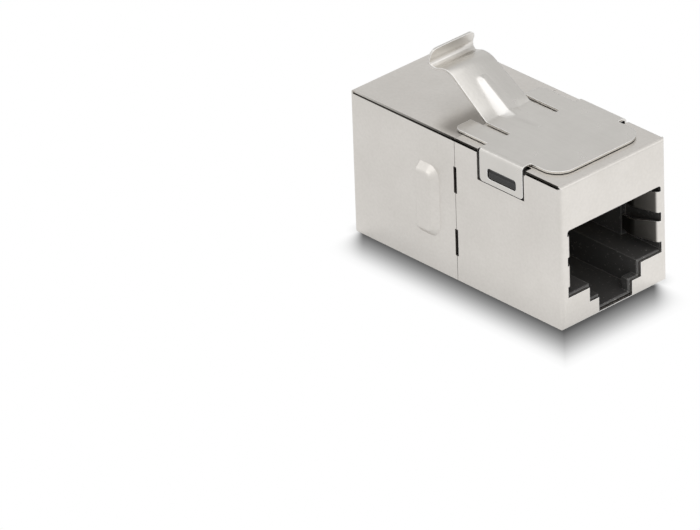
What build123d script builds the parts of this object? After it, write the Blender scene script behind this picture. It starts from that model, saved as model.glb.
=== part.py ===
from build123d import *
from math import atan2, cos, degrees, radians, sin, tan
import os

os.makedirs("parts", exist_ok=True)

# Inline coupler with a jack at each end, in millimetres.
# X runs along the length, with the front port at +X. Y is the width and Z is up.
# The origin is at the middle of the housing's underside.

# Housing
housing_length = 30.5
housing_width = 14.6
housing_height = 16.2
shell_sheet = 0.25           # thickness of the shells' plated sheet
fold_radius = 0.45           # outer radius where a flap folds from the port face
edge_slit = 0.1              # open slit between the top flap and each side flap
top_inset = 0.14             # how far the top flap's edges stay inside the sides
bottom_slit = 0.08           # slit between the bottom flap and each side flap
seam_gap = 0.06              # joint between the two shells
seam_slot = 0.44             # width of the open stretches of that joint
seam_shares = (0.1716, 0.3593, 0.6142, 0.8006)  # ends of those stretches, as shares of the height

# Port cut-out in the shell's face
port_margin = 0.75           # face beside the port
port_brow = 5.1              # face above the port
port_floor = 3.5
port_corner = 0.35
key_width = 7.2              # upper step of the latch keyway
key_floor = 1.9
slot_width = 4.66            # lower step of the latch keyway

# Grounding fingers at the sides of the port
finger_share = 0.309         # height of a finger, as a share of the port's height
finger_tip_share = 0.68      # height of its tip, as a share of its own height
finger_shares = (0.316, 0.757)  # heights of the fingers' middles above the port's floor
finger_root_inset = 0.35     # how far the fingers stand in from the port's sides
finger_nose_inset = 1.55
finger_tip_inset = 1.25
finger_nose_depth = 2.95
finger_tip_depth = 4.35
finger_curve = 1.6

# Louvre in each side of the rear shell
louvre_lip = -5.1            # x of its open edge
louvre_foot = -2.4           # x where its ramp meets the side
louvre_bottom = 3.8
louvre_drop = 4.3            # from the housing's top to the louvre's upper end
louvre_rise = 0.72
louvre_ramp = 0.8            # length of the slope round the raised flat
louvre_corner = 1.3
louvre_shoulder = 0.5        # radius between the slope and the flat

# Latch clip
clip_sheet = 0.25
clip_lift = 0.08             # gap between the clip's plate and the shell's top
plate_front = 13.6
plate_rear = -1.25
plate_margin = 1.2           # from the housing's sides to the plate's edges
plate_front_radius = 2.2
plate_rear_radius = 0.8
plate_slot_inner = 3.1       # distance of each slot's inner edge from the middle
plate_slot_outer = 3.75
plate_slot_end = 3.85
tab_rear = 3.62
tab_front = 9.75
tab_drop = 3.35              # from the housing's top to the tab's lower edge
tab_fold_radius = 0.5
tab_corner = 0.4
notch_gap_rear = 0.38        # gaps between the clip's tab and the shell's notch
notch_gap_front = 0.2
notch_gap_bottom = 0.1
notch_relief = 0.4           # how far the notch runs past the tab in the top flap
notch_top_inset = 0.95       # how far the notch reaches into the top flap
window_rear = 4.7
window_front = 8.8
window_height = 1.2
window_rise = 0.56           # from the tab's lower edge to the window
window_corner = 0.35

# Spring arm and finger hook of the clip: upper surface seen from the side
arm_width_root = 6.2
arm_width_neck = 5.6
arm_root_x = 0.3
arm_crest = (-5.45, 3.88)    # x, and height above the plate's upper surface
arm_valley = (-7.25, 3.28)
arm_heel = (-7.95, 3.6)
arm_lip = (-7.4, 5.3)
arm_root_radius = 0.6
arm_crest_radius = 2.4
arm_valley_radius = 0.6
arm_heel_radius = 0.45
hook_width = 6.1
hook_corner = 0.8
hook_margin = 1.0            # how far the hook's outline is drawn past the heel of its curve

# Pressed rib over the arm's root: place along the arm from the root bend, half width, rise
rib_stations = ((-4.5, 0.3, 0.02), (-1.2, 0.9, 0.12), (0, 1.35, 0.36), (4.2, 0.75, 0.24), (4.75, 0.6, 0.03))
rib_crest_width = 0.24
rib_root = 0.1               # depth by which the rib is sunk in the sheet

# Jack bodies
body_gap = 0.05              # running gap between mouldings and sheet
board_thickness = 1.6
board_gap = 0.05
plug_margin = 0.55           # from the port's sides to the plug's space
plug_floor = 3.72
plug_headroom = 0.5          # from the plug space's ceiling to the top of the port
mouth_depth = 4.9            # depth of the wide mouth that the fingers lie in
mouth_clearance = 0.08       # how far the moulding's mouth lies outside the face's opening
keyway_inset = 0.28          # how far the moulding shows inside the face's keyway
keyway_floor = 0.65          # upper surface of the moulding under the keyway
keyway_wall = 0.95           # thickness of the moulding's front wall at the keyway
mouth_chamfer = 0.12         # bevel round the moulding's mouth
carrier_margin = 0.8         # from the sides of the plug's space to the comb
carrier_rear_gap = 0.5
carrier_wall = 1.55
carrier_height = 3.0
carrier_gap = 0.05
carrier_lift = 0.2           # from the top of the port to the comb's chamber
ceiling_slot_overlap = 1.0
ceiling_slot_width = 0.62
tab_pocket_gap = 0.06
boss_gap = 0.12
boss_height = 0.82
boss_edge = 0.57             # height of its upright face, below the slope
boss_root = 1.0              # depth of its foot inside the body
boss_recess = 0.14           # how far the boss stays below the tab's outer face
body_edge = 0.35
body_front_edge = 0.15

# Contacts
contact_count = 8
contact_pitch = 1.016
contact_width = 0.42
contact_thickness = 0.3
contact_rise = 0.7           # from the chamber's floor to the contacts' upper surface in the comb
contact_row_step = 1.2
contact_front = 12.3
contact_bend = 0.5
contact_slope = 18.0
contact_tail = 5.2
contact_jog_start = 2.0
contact_slot_gap = 0.03
pin_projection = 0.35        # how far a pin shows past the board
board_hole_radius = 0.36
board_margin = 0.4           # from the housing's sides to the board
board_bottom = 0.6
board_top_margin = 0.6

half_length = housing_length / 2
half_width = housing_width / 2
seam_levels = [share * housing_height for share in seam_shares]
port_width = housing_width - 2 * port_margin
port_top = housing_height - port_brow
port_height = port_top - port_floor
finger_height = finger_share * port_height
finger_tip_height = finger_tip_share * finger_height
finger_levels = [port_floor + share * port_height for share in finger_shares]
finger_root_y = port_width / 2 - finger_root_inset
finger_nose_y = port_width / 2 - finger_nose_inset
finger_tip_y = port_width / 2 - finger_tip_inset
louvre_top = housing_height - louvre_drop
plate_width = housing_width - 2 * plate_margin
tab_bottom = housing_height - tab_drop
window_bottom = tab_bottom + window_rise
window_top = window_bottom + window_height
body_half_width = half_width - shell_sheet - body_gap
body_top = housing_height - shell_sheet - body_gap
body_bottom = shell_sheet + body_gap
body_front = half_length - shell_sheet - body_gap
body_rear = board_thickness / 2 + board_gap
plate_bottom = housing_height + clip_lift
plate_level = plate_bottom + clip_sheet
tab_inner = half_width - clip_sheet
arm_angle = atan2(arm_crest[1], arm_root_x - arm_crest[0])
plug_width = port_width - 2 * plug_margin
plug_height = port_top - plug_headroom - plug_floor
carrier_width = plug_width - 2 * carrier_margin
carrier_floor = port_top + carrier_lift
carrier_top = carrier_floor + carrier_height
contact_level = carrier_floor + contact_rise
board_width = housing_width - 2 * board_margin
board_top = housing_height - board_top_margin
contact_ys = [(index - (contact_count - 1) / 2) * contact_pitch for index in range(contact_count)]
contact_rows = [contact_level, contact_level + contact_row_step]
big = 50.0


def cuboid(x_range, y_range, z_range):
    """Box between two x, two y and two z values."""
    size = [high - low for low, high in (x_range, y_range, z_range)]
    middle = [(high + low) / 2 for low, high in (x_range, y_range, z_range)]
    return Pos(*middle) * Box(*size)


def both_sides(shape):
    """A shape at +Y together with its mirror image at -Y."""
    return shape + mirror(shape, about=Plane.XZ)


def folded(upper_line, thickness, side=Side.LEFT):
    """Outline of a bent sheet, from the line of one surface and its thickness."""
    return make_face(offset(upper_line, amount=thickness, side=side, closed=True))


def port_outline():
    """Port cut-out seen from the front, in Y and Z: the plug's opening over a stepped keyway."""
    opening = Pos(0, (port_top + port_floor) / 2) * Rectangle(port_width, port_top - port_floor)
    opening = fillet(opening.vertices().group_by(Axis.Y)[-1], port_corner)
    step = Pos(0, (port_floor + key_floor) / 2) * Rectangle(key_width, port_floor - key_floor)
    slot_bottom = shell_sheet
    slot = Pos(0, (key_floor + slot_bottom) / 2) * Rectangle(slot_width, key_floor - slot_bottom)
    return opening + step + slot


def grounding_finger(level):
    """Finger folded in from the side of the port: its nose presses on the plug's shield."""
    root = half_length
    surface = FilletPolyline(
        (root, port_width / 2 + shell_sheet),
        (root, finger_root_y),
        (root - finger_nose_depth, finger_nose_y),
        (root - finger_tip_depth, finger_tip_y),
        radius=[fold_radius, finger_curve],
    )
    strip = extrude(folded(surface, shell_sheet, Side.RIGHT), finger_height / 2, both=True)
    outline = Polygon(
        (root + shell_sheet, -finger_height / 2),
        (root + shell_sheet, finger_height / 2),
        (root - fold_radius, finger_height / 2),
        (root - finger_tip_depth, finger_tip_height / 2),
        (root - finger_tip_depth, -finger_tip_height / 2),
        (root - fold_radius, -finger_height / 2),
    )
    taper = extrude(Plane.XZ * outline, big, both=True)
    return Pos(0, 0, level) * (strip & taper)


def half_shell():
    """Port face with four flaps folded from it, the open end at x = 0."""
    outer = cuboid((0, half_length), (-half_width, half_width), (0, housing_height))
    outer = fillet(outer.faces().sort_by(Axis.X)[-1].edges(), fold_radius)
    inner_half_width = half_width - shell_sheet
    inner = cuboid(
        (-half_length, half_length - shell_sheet),
        (-inner_half_width, inner_half_width),
        (shell_sheet, housing_height - shell_sheet),
    )
    inner = fillet(inner.faces().sort_by(Axis.X)[-1].edges(), fold_radius - shell_sheet)
    shell = outer - inner
    slit_end = half_length - fold_radius
    flap_level = housing_height - shell_sheet
    top_slit = cuboid((-half_length, slit_end), (inner_half_width, big), (flap_level - edge_slit, flap_level))
    top_slit += cuboid((-half_length, slit_end), (half_width - top_inset, big), (flap_level, big))
    low_slit = cuboid(
        (-half_length, slit_end),
        (inner_half_width - bottom_slit, inner_half_width),
        (0, shell_sheet),
    )
    shell -= both_sides(top_slit + low_slit)
    shell -= cuboid((-half_length, seam_gap / 2), (-big, big), (-big, big))
    shell -= Pos(half_length, 0, 0) * extrude(Plane.YZ * port_outline(), half_length / 2, both=True)
    for level in finger_levels:
        shell += both_sides(grounding_finger(level))
    return shell


def seam_slots():
    """Open stretches of the seam: on the right side in two bands, on the left in the others."""
    first, second, third, fourth = seam_levels
    width = (-seam_slot / 2, seam_slot / 2)
    right = (-big, -half_width + 2 * shell_sheet)
    left = (half_width - 2 * shell_sheet, big)
    slots = cuboid(width, right, (first, second)) + cuboid(width, right, (third, fourth))
    return slots + cuboid(width, left, (shell_sheet, first)) + cuboid(width, left, (second, third))


def clip_notch():
    """Opening at the top edge of the front shell that a tab of the clip folds down through."""
    side_part = cuboid(
        (tab_rear - notch_gap_rear, tab_front + notch_gap_front),
        (half_width - 2 * shell_sheet, big),
        (tab_bottom - notch_gap_bottom, big),
    )
    top_part = cuboid(
        (tab_rear - notch_gap_rear, tab_front + notch_relief),
        (half_width - notch_top_inset, big),
        (housing_height - 2 * shell_sheet, big),
    )
    return side_part + top_part


def louvre_form(shrink):
    """Raised form of the left louvre, a D with sloped flanks, and the D that it stands on."""
    lip = louvre_lip - louvre_ramp
    size = (louvre_foot - shrink - lip, louvre_top - louvre_bottom - 2 * shrink)
    outline = Pos(lip + size[0] / 2, (louvre_top + louvre_bottom) / 2) * Rectangle(*size)
    outline = fillet(outline.vertices().group_by(Axis.X)[-1], louvre_corner - shrink)
    foot = Pos(0, half_width, 0) * (Plane.XZ * outline)
    slope = degrees(atan2(louvre_ramp, louvre_rise))
    form = extrude(foot, louvre_rise - shrink, dir=(0, 1, 0), taper=slope)
    form = fillet(form.faces().sort_by(Axis.Y)[-1].edges(), louvre_shoulder - shrink)
    return form, foot


def louvred(shell):
    """The rear shell with a louvre lanced out of each side, open towards the rear port."""
    outer = louvre_form(0)[0]
    inner, opening = louvre_form(shell_sheet)
    before_lip = cuboid((-big, louvre_lip), (-big, big), (-big, big))
    window = extrude(opening, 2 * shell_sheet, dir=(0, -1, 0)) - before_lip
    louvre = outer - inner - before_lip
    return shell - both_sides(window) + both_sides(louvre)


def make_front_shell():
    """Shell at the front port, with the seam's slots and the clip's notches."""
    return half_shell() - seam_slots() - both_sides(clip_notch())


def make_rear_shell():
    """Shell at the rear port, turned half round, with the seam's slots and the louvres."""
    return louvred(Rot(0, 0, 180) * half_shell() - seam_slots())


def clip_plate():
    """Flat plate of the clip, with the two slots that part the sprung arm from it."""
    length = plate_front - plate_rear
    outline = Pos((plate_front + plate_rear) / 2, 0) * Rectangle(length, plate_width)
    outline = fillet(outline.vertices().group_by(Axis.X)[-1], plate_front_radius)
    outline = fillet(outline.vertices().group_by(Axis.X)[0], plate_rear_radius)
    slot_breadth = plate_slot_outer - plate_slot_inner
    slot_length = plate_slot_end - plate_rear + slot_breadth
    slot = Pos(plate_slot_end - slot_length / 2, (plate_slot_outer + plate_slot_inner) / 2)
    slot = slot * SlotOverall(slot_length, slot_breadth)
    outline -= slot + mirror(slot, about=Plane.XZ)
    outline -= Pos(plate_rear, 0) * Rectangle(2 * (arm_root_x - plate_rear), 2 * plate_slot_inner + slot_breadth)
    return Pos(0, 0, plate_bottom) * extrude(outline, clip_sheet)


def clip_tab():
    """Left side tab, folded down from the plate's edge and rounded at its low corners."""
    surface = FilletPolyline(
        (plate_width / 2 - clip_sheet, plate_level),
        (half_width, plate_level),
        (half_width, tab_bottom),
        radius=[tab_fold_radius],
    )
    section = Plane.YZ * folded(surface, clip_sheet, Side.RIGHT)
    tab = Pos(tab_rear, 0, 0) * extrude(section, tab_front - tab_rear, dir=(1, 0, 0))
    return fillet(tab.edges().filter_by(Axis.Y).group_by(Axis.Z)[0], tab_corner)


def clip_windows():
    """Window in each side tab, which snaps over a boss of the jack body."""
    size = (window_front - window_rear, window_top - window_bottom)
    outline = Pos((window_front + window_rear) / 2, (window_top + window_bottom) / 2)
    outline = outline * RectangleRounded(*size, window_corner)
    return extrude(Plane.XZ * outline, big, both=True)


def arm_line(start):
    """Upper surface of the arm seen from the side, in X and Z, from the plate to the hook's lip."""
    points = [(start, plate_level), (arm_root_x, plate_level)]
    for x, rise in (arm_crest, arm_valley, arm_heel, arm_lip):
        points.append((x, plate_level + rise))
    radii = [arm_root_radius, arm_crest_radius, arm_valley_radius, arm_heel_radius]
    return FilletPolyline(*points, radius=radii)


def arm_outline():
    """The arm from above: it narrows towards the crest and widens again into the hook."""
    root_x = arm_root_x + 2 * arm_root_radius
    hook_x = arm_heel[0] - hook_margin
    left = [
        (root_x, arm_width_root / 2),
        (arm_root_x, arm_width_root / 2),
        (arm_crest[0], arm_width_neck / 2),
        (arm_valley[0], arm_width_neck / 2),
        (arm_heel[0], hook_width / 2),
        (hook_x, hook_width / 2),
    ]
    right = [(x, -y) for x, y in reversed(left)]
    return Polygon(*left, *right)


def hook_outline():
    """The hook from behind, with rounded upper corners."""
    top = plate_level + arm_lip[1]
    bottom = plate_level + arm_heel[1] - hook_margin
    outline = Pos(0, (top + bottom) / 2) * Rectangle(hook_width, top - bottom)
    return fillet(outline.vertices().group_by(Axis.Y)[-1], hook_corner)


def clip_arm():
    """Spring arm and finger hook, trimmed to the width that they have from above and behind."""
    surface = arm_line(arm_root_x + arm_root_radius)
    strip = extrude(Plane.XZ * folded(surface, clip_sheet), hook_width, both=True)
    heel_level = plate_level + arm_heel[1]
    above_heel = cuboid((-big, arm_valley[0]), (-big, big), (heel_level, big))
    low_part = extrude(arm_outline(), big) - above_heel
    hook_part = extrude(Plane.YZ * hook_outline(), -big) & above_heel
    return strip & (low_part + hook_part)


def rib_section(station, inset, drop):
    """Low roof-shaped section of the rib at one place along the arm, square to its surface."""
    along, half, rise = station
    angle = arm_angle if along > 0 else 0
    middle = (arm_root_x - along * cos(angle), 0, plate_level + along * sin(angle))
    if along == 0:
        angle = arm_angle / 2
    across = Plane(origin=middle, x_dir=(0, -1, 0), z_dir=(-cos(angle), 0, sin(angle)))
    foot = half - inset
    crest = rib_crest_width / 2
    outline = Polygon(
        (-foot, -drop - rib_root),
        (foot, -drop - rib_root),
        (foot, -drop),
        (crest, rise - drop),
        (-crest, rise - drop),
        (-foot, -drop),
        align=None,
    )
    return across * outline


def rib_form(inset, drop):
    """The rib's form along all its stations, drawn in and lowered for its hollow underside."""
    return loft([rib_section(station, inset, drop) for station in rib_stations], ruled=True)


def make_latch_clip():
    """Folded spring clip: plate, windowed tabs, and the arm with its pressed rib and hook."""
    clip = clip_plate() + both_sides(clip_tab()) - clip_windows() + clip_arm()
    return clip + rib_form(0, 0) - rib_form(rib_root, clip_sheet)


def contact_profile(row):
    """Side outline of a contact: pin, run through the comb, bend, and sprung leg."""
    reach = contact_bend / tan(radians(contact_slope / 2))
    corner_x = contact_front - contact_bend + reach
    tail_level = contact_level - (corner_x - contact_tail) * tan(radians(contact_slope))
    pin_end = -board_thickness / 2 - pin_projection
    points = [(pin_end, row)]
    radii = []
    if row > contact_level:
        points.append((contact_jog_start, row))
        points.append((contact_jog_start + contact_row_step, contact_level))
        radii += [contact_thickness, contact_thickness * 2]
    points.append((corner_x, contact_level))
    radii.append(contact_bend)
    points.append((contact_tail, tail_level))
    return folded(FilletPolyline(*points, radius=radii), contact_thickness, Side.RIGHT)


def make_contact(index):
    """One contact of the front jack, alternate ones on the upper row of pins."""
    profile = contact_profile(contact_rows[index % 2])
    contact = extrude(Plane.XZ * profile, contact_width / 2, both=True)
    return Pos(0, contact_ys[index], 0) * contact


def make_board():
    """Circuit board across the middle, with a hole for each pin of both jacks."""
    board = cuboid(
        (-board_thickness / 2, board_thickness / 2),
        (-board_width / 2, board_width / 2),
        (board_bottom, board_top),
    )
    holes = Sketch()
    for y in contact_ys:
        for row in contact_rows:
            holes += Pos(y, row - contact_thickness / 2) * Circle(board_hole_radius)
    return board - extrude(Plane.YZ * holes, board_thickness, both=True)


def make_carrier():
    """Comb that holds the contacts, with the wall that closes the back of the plug's space."""
    rear = body_rear + carrier_rear_gap
    wall_end = rear + carrier_wall
    wall = cuboid(
        (rear, wall_end),
        (-plug_width / 2 + carrier_gap, plug_width / 2 - carrier_gap),
        (plug_floor + carrier_gap, plug_floor + plug_height - carrier_gap),
    )
    head = cuboid(
        (rear, wall_end),
        (-carrier_width / 2, carrier_width / 2),
        (plug_floor + plug_height - 2 * carrier_gap, carrier_top),
    )
    comb = cuboid(
        (rear, contact_front - 2 * contact_bend),
        (-carrier_width / 2, carrier_width / 2),
        (carrier_floor + 2 * carrier_gap, carrier_top),
    )
    carrier = wall + head + comb
    groove_top = contact_rows[1] + contact_slot_gap
    groove_half = contact_width / 2 + contact_slot_gap
    for y in contact_ys:
        carrier -= cuboid((0, half_length), (y - groove_half, y + groove_half), (carrier_floor, groove_top))
    return carrier


def window_boss():
    """Snap boss that shows in the window of the clip's tab, with a sloped top."""
    inner = body_half_width - boss_root
    outer = half_width - boss_recess
    low = window_bottom + boss_gap / 2
    section = Polygon(
        (inner, low),
        (outer, low),
        (outer, low + boss_edge),
        (tab_inner - tab_pocket_gap, low + boss_height),
        (inner, low + boss_height),
    )
    boss = extrude(Plane.YZ * section, window_front - window_rear - 2 * boss_gap, dir=(1, 0, 0))
    return Pos(window_rear + boss_gap, 0, 0) * boss


def make_jack_body(with_bosses):
    """Moulded body of one jack: plug space, keyway, finger recesses, comb chamber and its slots."""
    body = cuboid((body_rear, body_front), (-body_half_width, body_half_width), (body_bottom, body_top))
    body = chamfer(body.edges().filter_by(Axis.X), body_edge)
    body = chamfer(body.faces().sort_by(Axis.X)[-1].edges(), body_front_edge)
    plug_top = plug_floor + plug_height
    body -= cuboid((0, big), (-plug_width / 2, plug_width / 2), (plug_floor, plug_top))
    mouth_half = port_width / 2 + mouth_clearance
    mouth_rear = body_front - mouth_depth
    body -= cuboid((mouth_rear, big), (-mouth_half, mouth_half), (plug_floor, port_top + mouth_clearance))
    key_half = key_width / 2 - keyway_inset
    slot_half = slot_width / 2 - keyway_inset
    key_level = key_floor + keyway_inset / 2
    pocket_front = body_front - keyway_wall
    pocket_rear = body_rear + carrier_rear_gap + carrier_wall
    body -= cuboid((pocket_rear, pocket_front), (-key_half, key_half), (keyway_floor, plug_top))
    body -= cuboid((pocket_rear, big), (-key_half, key_half), (key_level, plug_top))
    body -= cuboid((pocket_rear, big), (-slot_half, slot_half), (keyway_floor, plug_top))
    mouth = body.faces().sort_by(Axis.X)[-1].inner_wires()[0]
    body = chamfer(mouth.edges(), mouth_chamfer)
    chamber_half = carrier_width / 2 + carrier_gap
    chamber_front = contact_front + contact_bend
    body -= cuboid((0, chamber_front), (-chamber_half, chamber_half), (carrier_floor, carrier_top + carrier_gap))
    wall_end = body_rear + carrier_rear_gap + carrier_wall + carrier_gap
    body -= cuboid((0, wall_end), (-chamber_half, chamber_half), (plug_floor, carrier_top + carrier_gap))
    slot_front = contact_front
    for y in contact_ys:
        across = (y - ceiling_slot_width / 2, y + ceiling_slot_width / 2)
        body -= cuboid((wall_end, slot_front), across, (plug_floor, carrier_floor + ceiling_slot_overlap))
    if with_bosses:
        pocket = cuboid(
            (tab_rear - notch_gap_rear, tab_front + notch_gap_rear),
            (tab_inner - tab_pocket_gap, big),
            (tab_bottom - 2 * notch_gap_bottom, big),
        )
        body -= both_sides(pocket)
        body += both_sides(window_boss())
    return body


turned = Rot(0, 0, 180)
nodes = {
    "front_shell": make_front_shell(),
    "rear_shell": make_rear_shell(),
    "latch_clip": make_latch_clip(),
    "front_jack_body": make_jack_body(True),
    "rear_jack_body": turned * make_jack_body(False),
    "front_contact_carrier": make_carrier(),
    "rear_contact_carrier": turned * make_carrier(),
    "circuit_board": make_board(),
}
for index in range(contact_count):
    nodes[f"front_contact_{index + 1}"] = make_contact(index)
    nodes[f"rear_contact_{index + 1}"] = turned * make_contact(index)

for name, shape in nodes.items():
    export_step(shape, f"parts/{name}.step")
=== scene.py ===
from math import radians

import bpy
from mathutils import Matrix, Vector

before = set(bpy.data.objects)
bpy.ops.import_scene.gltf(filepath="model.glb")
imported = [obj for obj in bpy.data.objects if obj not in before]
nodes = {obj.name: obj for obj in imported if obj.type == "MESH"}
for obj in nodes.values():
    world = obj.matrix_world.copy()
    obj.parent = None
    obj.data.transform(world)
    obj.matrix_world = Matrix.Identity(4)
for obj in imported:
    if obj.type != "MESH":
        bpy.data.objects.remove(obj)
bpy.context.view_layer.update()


# The two shells: folded sheet steel with a satin nickel plating, slightly cloudy and softly uneven.
# The sheared long edges beside the slits, on the top flaps and the sides, are bare and painted dark as
# shade in the slits. A painted shade darkens a band of the top before the latch clip, and the grounding
# fingers inside the port; painted highlights lighten the rims of the fingers and of the port's face.
MM = 0.001                   # every size below is in millimetres
shell_corners = [Vector(corner) / MM for corner in nodes["front_shell"].bound_box]
half_length = max(corner.x for corner in shell_corners)
half_width = max(corner.y for corner in shell_corners)
shell_top = max(corner.z for corner in shell_corners)
sheet = 0.25
slit = 0.1
flap_underside = shell_top - sheet
hair = 0.005                 # keeps a face that lies on a limit to one side of it
shell_cloud, shell_wave = 6.25, 2.857
pit = 1 / 3                  # coarser than the real pits, so that they show
rim_reach, rim_softness = 0.35, 0.07
rear_edge_shade = 0.15         # share of the bare edges' darkness that is left at the rear corner
finger_half_span, finger_middle, finger_half_zone = 6.5, 7.5, 4.0
finger_shade_start, finger_shade_full = 0.13, 0.4
band_start, band_full, band_waver = -3.8, -1.2, 1.2
band_from_side, band_full_from_side = 0.2, 1.1
band_far_end, band_far_full = 2.5, -1.5
smooth = {"interpolation_type": "SMOOTHSTEP"}


def linear(colour):
    """An sRGB hex colour as linear red, green, blue and alpha."""
    channels = [int(colour[i:i + 2], 16) / 255 for i in (1, 3, 5)]
    return [c / 12.92 if c <= 0.04045 else ((c + 0.055) / 1.055) ** 2.4 for c in channels] + [1.0]


def add(tree, kind, settings, *inputs):
    """Adds a node. Settings go by name to its sockets or properties, inputs by order to its open sockets.

    A hex colour is made linear. A node or an output is linked, a node by its first open output.
    """
    node = tree.nodes.new("ShaderNode" + kind)
    for name, value in list(settings.items()) + list(enumerate(inputs)):
        open_sockets = [socket for socket in node.inputs if socket.enabled]
        sockets = dict(enumerate(open_sockets)) | {socket.name: socket for socket in reversed(open_sockets)}
        if isinstance(value, str) and value.startswith("#"):
            value = linear(value)
        if isinstance(value, bpy.types.Node):
            value = next(output for output in value.outputs if output.enabled)
        if name not in sockets:
            setattr(node, name, value)
        elif isinstance(value, bpy.types.NodeSocket):
            tree.links.new(sockets[name], value)
        else:
            sockets[name].default_value = value
    return node


def overlap(tree, first, *others):
    """The part that several masks share, as their product."""
    for other in others:
        first = add(tree, "Math", {"operation": "MULTIPLY"}, first, other)
    return first


def new_material(name):
    """An empty node material, with its tree and its Object coordinates in millimetres."""
    material = bpy.data.materials.new(name)
    material.use_nodes = True
    tree = material.node_tree
    tree.nodes.clear()
    in_metres = add(tree, "TexCoord", {}).outputs["Object"]
    position = add(tree, "Mapping", {"Scale": (1 / MM, 1 / MM, 1 / MM)}, in_metres)
    return material, tree, position


def finish_nodes(names, material):
    """Gives CAD nodes their material, in a single material slot."""
    for name in names:
        node = nodes[name]
        node.data.materials.clear()
        node.data.materials.append(material)


def rim_highlight(tree, softened, colour, highlit_colour):
    """The colour with a painted highlight on sharp rims: where the softened normal leaves the true one by
    15 to 32 degrees.
    """
    true_normal = add(tree, "NewGeometry", {}).outputs["True Normal"]
    agreement = add(tree, "VectorMath", {"operation": "DOT_PRODUCT"}, softened, true_normal)
    rim = add(tree, "MapRange", {}, agreement, 0.966, 0.85)
    return add(tree, "Mix", {"data_type": "RGBA"}, rim, colour, highlit_colour)


def bare_shaded_edges(tree, place, facing):
    """Mask of the sheared long edges, which no plating covers, painted dark as the shade in the slits.

    A top flap's edge lies over the flap's underside and faces sideways, |Ny| > 0.8. A side's edge
    lies one slit below that underside and faces up, Nz > 0.8. Both stop one sheet before the port
    faces, and grow evenly in strength from the rear corner to the middle.
    """
    x, z = place.outputs["X"], place.outputs["Z"]
    across = add(tree, "Math", {"operation": "ABSOLUTE"}, facing.outputs["Y"])
    sideways = add(tree, "Math", {"operation": "GREATER_THAN"}, across, 0.8)
    in_flap = add(tree, "Math", {"operation": "GREATER_THAN"}, z, flap_underside + hair)
    upward = add(tree, "Math", {"operation": "GREATER_THAN"}, facing.outputs["Z"], 0.8)
    at_side_edge = add(tree, "Math", {"operation": "COMPARE"}, z, flap_underside - slit, 4 * hair)
    flap_edge = overlap(tree, sideways, in_flap)
    side_edge = overlap(tree, upward, at_side_edge)
    either = add(tree, "Math", {"operation": "MAXIMUM"}, flap_edge, side_edge)
    inner = add(tree, "Math", {"operation": "COMPARE"}, x, 0.0, half_length - sheet)
    growing = add(tree, "MapRange", {"To Min": rear_edge_shade}, x, sheet - half_length, 0.0)
    return overlap(tree, either, inner, growing)


def painted_shade_band(tree, place, waves):
    """Mask of the painted shade band on the rear shell's top, before the near ear of the clip.

    A smoothstep of X + band_waver times a noise, from band_start to band_full, times a ramp that
    rises away from the near side, times a smoothstep of Y that ends the band past the middle.
    """
    x, y, z = place.outputs
    wavering = add(tree, "Math", {"operation": "MULTIPLY_ADD"}, waves, band_waver, x)
    nearing = add(tree, "MapRange", smooth, wavering, band_start, band_full)
    side_start, side_full = band_from_side - half_width, band_full_from_side - half_width
    beside_slit = add(tree, "MapRange", {"To Max": 0.46}, y, side_start, side_full)
    ending = add(tree, "MapRange", smooth, y, band_far_end, band_far_full)
    on_top = add(tree, "Math", {"operation": "GREATER_THAN"}, z, flap_underside + hair)
    rear = add(tree, "Math", {"operation": "LESS_THAN"}, x, 0.0)
    return overlap(tree, nearing, ending, beside_slit, on_top, rear)


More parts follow.
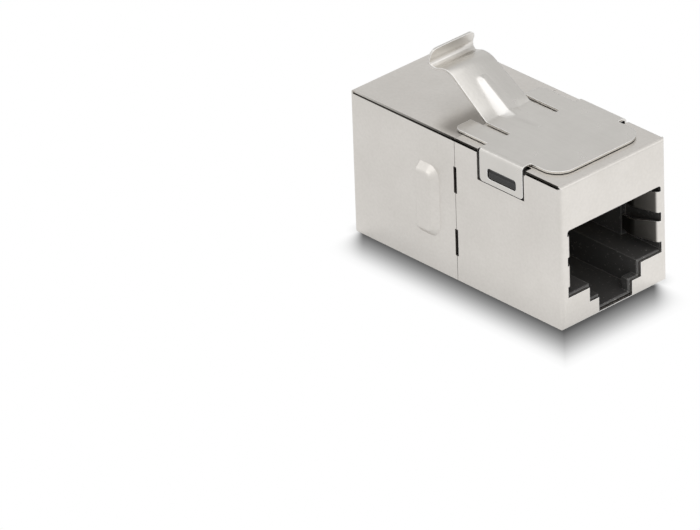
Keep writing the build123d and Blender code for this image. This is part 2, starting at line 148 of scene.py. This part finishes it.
def shell_plating():
    """Satin nickel: cloudy tint and roughness, fine pits, softened edges, bare edges, painted shade and
    highlights.

    The fingers lie around the middle of the port's height. A painted shade darkens them further behind
    its face, but not on their upper sides. They and the port's face have painted highlights on their rims.
    """
    material, tree, position = new_material("satin_nickel_plate")
    cloud = add(tree, "TexNoise", {"Detail": 4.0, "Roughness": 0.6}, position, 1 / shell_cloud)
    waves = add(tree, "TexNoise", {"Detail": 1.0}, position, 1 / shell_wave)
    speckle = add(tree, "TexNoise", {"Detail": 2.0}, position, 1 / pit)
    pitted = add(tree, "MapRange", {"To Max": 0.13}, speckle, 0.35, 0.7)
    colour = add(tree, "Mix", {"data_type": "RGBA"}, cloud, "#e5e1dc", "#d7d3cd")
    colour = add(tree, "Mix", {"data_type": "RGBA"}, pitted, colour, "#b9b5ae")
    place = add(tree, "SeparateXYZ", {}, position)
    facing = add(tree, "SeparateXYZ", {}, add(tree, "NewGeometry", {}).outputs["True Normal"])
    # Painted shade: the bare sheared edges are darkened as the shade in the slits.
    colour = add(tree, "Mix", {"data_type": "RGBA"}, bare_shaded_edges(tree, place, facing), colour, "#35322e")
    # Painted shade: a band of the rear top before the clip is darkened.
    colour = add(tree, "Mix", {"data_type": "RGBA"}, painted_shade_band(tree, place, waves), colour, "#4a453f")
    x, y, z = place.outputs
    along = add(tree, "Math", {"operation": "ABSOLUTE"}, x)
    shade_start, shade_full = half_length - finger_shade_start, half_length - finger_shade_full
    depth = add(tree, "MapRange", {"To Max": 0.85}, along, shade_start, shade_full)
    near_middle = add(tree, "Math", {"operation": "COMPARE"}, y, 0.0, finger_half_span)
    in_zone = add(tree, "Math", {"operation": "COMPARE"}, z, finger_middle, finger_half_zone)
    finger = overlap(tree, near_middle, in_zone)
    not_upward = add(tree, "Math", {"operation": "LESS_THAN"}, facing.outputs["Z"], 0.7)
    inside = overlap(tree, finger, depth, not_upward)
    # Painted shade: the fingers darken with their depth behind the port's face.
    colour = add(tree, "Mix", {"data_type": "RGBA"}, inside, colour, "#504d48")
    mouth = add(tree, "Math", {"operation": "GREATER_THAN"}, along, half_length - rim_reach)
    rims = add(tree, "Math", {"operation": "MAXIMUM"}, mouth, finger)
    edge = add(tree, "Bevel", {"samples": 6, "Radius": rim_softness * MM})
    highlit_colour = rim_highlight(tree, edge, colour, "#ffffff")
    # Painted highlight: the rims of the port's face and of the fingers are lightened.
    colour = add(tree, "Mix", {"data_type": "RGBA"}, rims, colour, highlit_colour)
    rough = add(tree, "MapRange", {"Value": cloud, "To Min": 0.27, "To Max": 0.39})
    bump = add(tree, "Bump", {"Strength": 0.25, "Distance": 0.03 * MM, "Height": waves, "Normal": edge})
    finish = {"Metallic": 1.0, "Roughness": rough, "Normal": bump}
    surface = add(tree, "BsdfPrincipled", finish, colour)
    add(tree, "OutputMaterial", {}, surface)
    return material


finish_nodes(["front_shell", "rear_shell"], shell_plating())


# The latch clip: spring sheet with the same plating, smoother and brighter from its forming.
# Pressing the rib has crowned the arm slightly, so that its two halves catch the light differently.
# Painted highlights lighten the strip's sheared edges and the rib's near flank.
clip_cloud, grain_width = 10 / 3, 0.3846
rolling_length, rolling_width = 4.0, 1 / 3
strip_softness, rib_softness = 0.1, 0.5
rib_half_width, rib_bottom, rib_rear = 1.6, 16.6, -5.5
rib_soft_full = -0.6
flank_foot, flank_ridge = -1.5, -0.7
crown_full = 17.4
crown_tip = 0.05             # how far the normal tips for each millimetre from the middle


def clip_plating():
    """Bright nickel with faint lengthwise rolling marks and a crowned arm.

    The crown adds crown_tip Y to the normal's Y, by a smoothstep of Z from rib_bottom to
    crown_full. The rib's near half has softer edges from Y = 0 to rib_soft_full, and its flank,
    Ny from -0.1 to -0.3, carries a painted highlight, greyer at its foot than at its ridge. The sharp
    rims carry a painted highlight as well.
    """
    material, tree, position = new_material("bright_nickel_plate")
    cloud = add(tree, "TexNoise", {"Detail": 4.0, "Roughness": 0.6}, position, 1 / clip_cloud)
    marks_per_mm = (1 / rolling_length, 1 / rolling_width, 1 / rolling_length)
    stretched = add(tree, "Mapping", {"Scale": marks_per_mm}, position)
    rolling = add(tree, "TexNoise", {"Detail": 3.0}, stretched, 1.0)
    faint = add(tree, "Math", {"operation": "MULTIPLY"}, rolling, 0.15)
    colour = add(tree, "Mix", {"data_type": "RGBA"}, cloud, "#e2dfda", "#d4d1cc")
    colour = add(tree, "Mix", {"data_type": "RGBA"}, faint, colour, "#b4b0aa")
    x, y, z = add(tree, "SeparateXYZ", {}, position).outputs
    near_middle = add(tree, "Math", {"operation": "COMPARE"}, y, 0.0, rib_half_width)
    high = add(tree, "Math", {"operation": "GREATER_THAN"}, z, rib_bottom)
    before_hook = add(tree, "Math", {"operation": "GREATER_THAN"}, x, rib_rear)
    on_rib = overlap(tree, near_middle, high, before_hook)
    near_half = add(tree, "MapRange", {}, y, 0.0, rib_soft_full)
    radii = {"To Min": strip_softness * MM, "To Max": rib_softness * MM}
    softness = add(tree, "MapRange", radii, overlap(tree, on_rib, near_half))
    edge = add(tree, "Bevel", {"samples": 12, "Radius": softness})
    # Painted highlight on the clip's sharp rims.
    colour = rim_highlight(tree, edge, colour, "#ffffff")
    facing = add(tree, "SeparateXYZ", {}, add(tree, "NewGeometry", {}).outputs["True Normal"])
    flank = add(tree, "MapRange", {}, facing.outputs["Y"], -0.1, -0.3)
    rise = add(tree, "MapRange", {}, y, flank_foot, flank_ridge)
    flank_highlight = add(tree, "Mix", {"data_type": "RGBA"}, rise, "#cbc9c6", "#e3e1de")
    # Painted highlight on the rib's near flank, greyer at its foot.
    colour = add(tree, "Mix", {"data_type": "RGBA"}, overlap(tree, on_rib, flank), colour, flank_highlight)
    grain = add(tree, "TexNoise", {"Detail": 2.0}, position, 1 / grain_width)
    rippled = add(tree, "Bump", {"Strength": 0.5, "Distance": 0.03 * MM, "Height": grain, "Normal": edge})
    on_arm = add(tree, "MapRange", smooth, z, rib_bottom, crown_full)
    tip = add(tree, "Math", {"operation": "MULTIPLY"}, y, crown_tip)
    crown = add(tree, "CombineXYZ", {"Y": overlap(tree, tip, on_arm)})
    crowned = add(tree, "VectorMath", {"operation": "ADD"}, rippled, crown)
    normal = add(tree, "VectorMath", {"operation": "NORMALIZE"}, crowned)
    rough = add(tree, "MapRange", {"Value": cloud, "To Min": 0.24, "To Max": 0.34})
    finish = {"Metallic": 1.0, "Roughness": rough, "Normal": normal}
    surface = add(tree, "BsdfPrincipled", finish, colour)
    add(tree, "OutputMaterial", {}, surface)
    return material


finish_nodes(["latch_clip"], clip_plating())


# The jack bodies: glass-filled black plastic with a fine matt skin. It is painted lighter in the ports as
# painted light and darker on the snap bosses as painted shade. Its sharp rims have a painted highlight,
# and light specks lie in the ports.
skin_grain = 1 / 9           # coarser than the real skin, so that it shows
skin_cloud, speck_grain = 2.0, 0.3125
boss_inner = 7.0
jack_softness = 0.14


def jack_moulding():
    """Moulded black plastic with a fine spark-eroded grain, painted lighter between the bosses as painted
    light and darker on the bosses, |Y| > boss_inner, as painted shade. Its sharp rims carry a painted
    highlight.

    Light specks show between the bosses where a noise is over 0.62.
    """
    material, tree, position = new_material("black_jack_moulding")
    grain = add(tree, "TexNoise", {"Detail": 2.0}, position, 1 / skin_grain)
    cloud = add(tree, "TexNoise", {"Detail": 2.0}, position, 1 / skin_cloud)
    speck_noise = add(tree, "TexNoise", {"Detail": 5.0, "Roughness": 0.65}, position, 1 / speck_grain)
    specks = add(tree, "MapRange", {"To Max": 0.7}, speck_noise, 0.62, 0.67)
    y = add(tree, "SeparateXYZ", {}, position).outputs["Y"]
    lit_between_bosses = add(tree, "Math", {"operation": "COMPARE"}, y, 0.0, boss_inner)
    edge = add(tree, "Bevel", {"samples": 6, "Radius": jack_softness * MM})
    # Painted light and shade: lighter between the bosses, in the ports, and darker on the bosses.
    colour = add(tree, "Mix", {"data_type": "RGBA"}, lit_between_bosses, "#161616", "#454443")
    # Painted highlight on the sharp rims.
    colour = rim_highlight(tree, edge, colour, "#7d7c7a")
    colour = add(tree, "Mix", {"data_type": "RGBA"}, overlap(tree, specks, lit_between_bosses), colour, "#a3a19d")
    rough = add(tree, "MapRange", {"Value": cloud, "To Min": 0.26, "To Max": 0.46})
    bump = add(tree, "Bump", {"Strength": 0.3, "Distance": 0.02 * MM, "Height": grain, "Normal": edge})
    surface = add(tree, "BsdfPrincipled", {"Roughness": rough, "Normal": bump}, colour)
    add(tree, "OutputMaterial", {}, surface)
    return material


finish_nodes(["front_jack_body", "rear_jack_body"], jack_moulding())


# The combs that hold the contacts inside the jacks: the same black plastic with a duller skin.
# They are pressed into the jack bodies and seen only deep in the ports.
comb_grain = 1 / 6           # coarser than the real skin, so that it shows


def comb_moulding():
    """Dull black plastic with a coarse grain."""
    material, tree, position = new_material("black_comb_moulding")
    grain = add(tree, "TexNoise", {"Detail": 2.0}, position, 1 / comb_grain)
    rough = add(tree, "MapRange", {"Value": grain, "To Min": 0.45, "To Max": 0.6})
    bump = add(tree, "Bump", {"Strength": 0.3, "Distance": 0.02 * MM, "Height": grain})
    surface = add(tree, "BsdfPrincipled", {"Roughness": rough, "Normal": bump}, "#323231")
    add(tree, "OutputMaterial", {}, surface)
    return material


finish_nodes(["front_contact_carrier", "rear_contact_carrier"], comb_moulding())


# The contacts: sprung bronze wire, plated with thin gold where the plug touches.
# They are held by the combs and soldered through the board.
mark_length = 10 / 3
mark_width, mark_height = 1 / 12, 1 / 3     # coarser than the real marks, so that they show


def gold_plating():
    """Thin gold over drawn wire, with faint lengthwise marks."""
    material, tree, position = new_material("gold_contact_plating")
    drawn = add(tree, "Mapping", {"Scale": (1 / mark_length, 1 / mark_width, 1 / mark_height)}, position)
    marks = add(tree, "TexNoise", {"Detail": 3.0}, drawn, 1.0)
    rough = add(tree, "MapRange", {"Value": marks, "To Min": 0.16, "To Max": 0.32})
    surface = add(tree, "BsdfPrincipled", {"Metallic": 1.0, "Roughness": rough}, "#e6c27a")
    add(tree, "OutputMaterial", {}, surface)
    return material


contact_names = [f"{end}_contact_{number}" for end in ("front", "rear") for number in range(1, 9)]
finish_nodes(contact_names, gold_plating())


# The circuit board: glass laminate under a black solder mask, just seen through the seam's slots.
# It stands across the middle of the housing, between the two jacks.
weave_pitch, mask_grain = 5 / 12, 0.2


def solder_mask():
    """Black solder mask with the faint weave of the laminate below it."""
    material, tree, position = new_material("black_solder_mask")
    weave = add(tree, "TexChecker", {"Scale": 1 / weave_pitch}, position, "#1f1c19", "#24211d")
    speckle = add(tree, "TexNoise", {"Detail": 2.0}, position, 1 / mask_grain)
    rough = add(tree, "MapRange", {"Value": speckle, "To Min": 0.22, "To Max": 0.38})
    surface = add(tree, "BsdfPrincipled", {"Roughness": rough}, weave)
    add(tree, "OutputMaterial", {}, surface)
    return material


finish_nodes(["circuit_board"], solder_mask())


# The floor: plain white, with a painted soft shadow of the housing, as if thrown from a light behind it.
# The painted shade lies beside the two near sides, and a narrow painted contact shade lies all round.
floor_half_size = 1500.0
shade_reach, front_reach = 5.25, 5.25 / 0.94
shade_levels = [
    (0.0, 0.105), (0.11, 0.19), (0.27, 0.32), (0.43, 0.49),
    (0.6, 0.695), (0.76, 0.87), (0.84, 0.935), (1.0, 1.0),
]
rear_end_inset, far_end_inset = 0.1, 0.7
end_blur, end_spread = 1.3, 1.105
contact_reach, contact_level = 1.2, 0.8
pool_half_span = 30.0
pool_low, pool_high = 0.91, 1.09
mirrored_shade = 0.78


def set_levels(ramp, levels):
    """Fills a colour ramp with grey levels, each given with its place from 0 to 1."""
    stops = ramp.color_ramp.elements
    while len(stops) < len(levels):
        stops.new(0.5)
    for stop, (place, level) in zip(stops, levels):
        stop.position, stop.color = place, (level, level, level, 1)


def painted_floor_shadow(tree, x, y):
    """Grey of the painted shadow at the housing's -Y and +X sides.

    It follows shade_levels over the distance d = max(-half_width - y, 0.94 (x - half_length)), up to
    shade_reach. At the rear near corner and the far front corner it fades to white by a smoothstep
    over end_blur + end_spread d, from an inset before the corner.
    """
    from_side = add(tree, "Math", {"operation": "SUBTRACT"}, -half_width, y)
    before_front = add(tree, "Math", {"operation": "SUBTRACT"}, x, half_length)
    from_front = add(tree, "Math", {"operation": "MULTIPLY"}, before_front, shade_reach / front_reach)
    distance = add(tree, "Math", {"operation": "MAXIMUM"}, from_side, from_front)
    share = add(tree, "Math", {"operation": "DIVIDE"}, distance, shade_reach)
    shade = add(tree, "ValToRGB", {}, share)
    set_levels(shade, shade_levels)
    outside = add(tree, "Math", {"operation": "MAXIMUM"}, distance, 0.0)
    spread = add(tree, "Math", {"operation": "MULTIPLY_ADD"}, outside, end_spread, end_blur)
    from_rear = add(tree, "Math", {"operation": "SUBTRACT"}, x, rear_end_inset - half_length)
    from_far = add(tree, "Math", {"operation": "SUBTRACT"}, half_width - far_end_inset, y)
    rear_share = add(tree, "Math", {"operation": "DIVIDE"}, from_rear, spread)
    far_share = add(tree, "Math", {"operation": "DIVIDE"}, from_far, spread)
    rear_fade = add(tree, "MapRange", smooth, rear_share)
    far_fade = add(tree, "MapRange", smooth, far_share)
    return add(tree, "Mix", {"data_type": "RGBA"}, overlap(tree, rear_fade, far_fade), "#ffffff", shade)


def white_floor():
    """White floor that shows its painted shade to the camera and is mirrored as a painted pool of light.

    In mirrors it rises by a smoothstep of X + Y from pool_low to pool_high, and its shade is faint.
    """
    material, tree, position = new_material("white_floor")
    place = add(tree, "SeparateXYZ", {}, position)
    x, y = place.outputs["X"], place.outputs["Y"]
    # Painted contact shade: ambient occlusion darkens the floor's colour near the housing.
    shelter = add(tree, "AmbientOcclusion", {"samples": 16, "Distance": contact_reach * MM})
    contact = add(tree, "MapRange", {"From Min": 0.5, "To Min": contact_level}, shelter.outputs["AO"])
    # The floor's colour takes the painted shadow and the painted contact shade.
    level = add(tree, "Math", {"operation": "MINIMUM"}, painted_floor_shadow(tree, x, y), contact)
    seen = add(tree, "Emission", {"Strength": level}, "#ffffff")
    across = add(tree, "Math", {"operation": "ADD"}, x, y)
    pool_range = {"To Min": pool_low, "To Max": pool_high}
    pool = add(tree, "MapRange", smooth | pool_range, across, -pool_half_span, pool_half_span)
    faint = add(tree, "MapRange", {"To Min": mirrored_shade}, level)
    mirrored = add(tree, "Emission", {"Strength": overlap(tree, pool, faint)}, "#ffffff")
    matt = add(tree, "BsdfDiffuse", {}, "#ececec")
    path = add(tree, "LightPath", {})
    unseen = add(tree, "MixShader", {}, path.outputs["Is Glossy Ray"], matt, mirrored)
    surface = add(tree, "MixShader", {}, path.outputs["Is Camera Ray"], unseen, seen)
    add(tree, "OutputMaterial", {}, surface)
    return material


edge = floor_half_size * MM
floor_corners = [(-edge, -edge, 0), (edge, -edge, 0), (edge, edge, 0), (-edge, edge, 0)]
floor_mesh = bpy.data.meshes.new("floor")
floor_mesh.from_pydata(floor_corners, [], [(0, 1, 2, 3)])
floor_mesh.materials.append(white_floor())
floor = bpy.data.objects.new("floor", floor_mesh)
bpy.context.scene.collection.objects.link(floor)


# The studio: a tent of white cloth, brightest in a ring high up, with a greyer panel behind the
# rear left. The levels follow the height of the direction, and camera rays see plain white.
tent_strength = 2.0
panel_edge, panel_full = 0.05, 0.42
cloth_levels = [
    (0.0, 0.5), (0.5, 0.5), (0.6, 0.82), (0.7, 0.8), (0.8, 0.52),
    (0.86, 0.5), (0.93, 0.78), (0.965, 0.74), (1.0, 0.56),
]
panel_levels = [
    (0.0, 0.34), (0.45, 0.4), (0.6, 0.36), (0.7, 0.29), (0.78, 0.38),
    (0.86, 0.46), (0.93, 0.78), (0.965, 0.74), (1.0, 0.56),
]
world = bpy.data.worlds.new("studio")
bpy.context.scene.world = world
world.use_nodes = True
sky = world.node_tree
sky.nodes.clear()
direction = add(sky, "TexCoord", {}).outputs["Generated"]
x, y, z = add(sky, "SeparateXYZ", {}, direction).outputs
white_cloth = add(sky, "ValToRGB", {}, z)
grey_panel = add(sky, "ValToRGB", {}, z)
set_levels(white_cloth, cloth_levels)
set_levels(grey_panel, panel_levels)
turned = add(sky, "Math", {"operation": "SUBTRACT"}, y, x)
behind = add(sky, "MapRange", smooth, turned, panel_edge, panel_full)
lit = add(sky, "Mix", {"data_type": "RGBA"}, behind, white_cloth, grey_panel)
to_camera = add(sky, "LightPath", {}).outputs["Is Camera Ray"]
colour = add(sky, "Mix", {"data_type": "RGBA"}, to_camera, lit, "#ffffff")
strength = add(sky, "MapRange", {"Value": to_camera, "To Min": tent_strength, "To Max": 1.0})
tent = add(sky, "Background", {}, colour, strength)
add(sky, "OutputWorld", {}, tent)


# The camera: a long lens at the photograph's angle, slightly rolled, from the fitted housing corners.
# It is aimed beside the coupler, which therefore stands in the upper right of the picture.
azimuth, elevation, roll = -42.16723, 29.06988, -2.04667
aim, aim_distance = Vector((0.51043, -22.35804, 8.0)), 803.2441
camera = bpy.data.cameras.new("camera")
camera.sensor_width = 36.0
camera.lens = 416.416
camera.clip_start, camera.clip_end = 50 * MM, 10000 * MM
camera_object = bpy.data.objects.new("camera", camera)
turn = Matrix.Rotation(radians(90 + azimuth), 4, "Z") @ Matrix.Rotation(radians(90 - elevation), 4, "X")
lean = Matrix.Rotation(radians(roll), 4, "Z")
step_back = Matrix.Translation((0, 0, aim_distance * MM))
camera_object.matrix_world = Matrix.Translation(aim * MM) @ turn @ lean @ step_back
bpy.context.scene.collection.objects.link(camera_object)
bpy.context.scene.camera = camera_object

bpy.context.scene.view_settings.view_transform = "Standard"
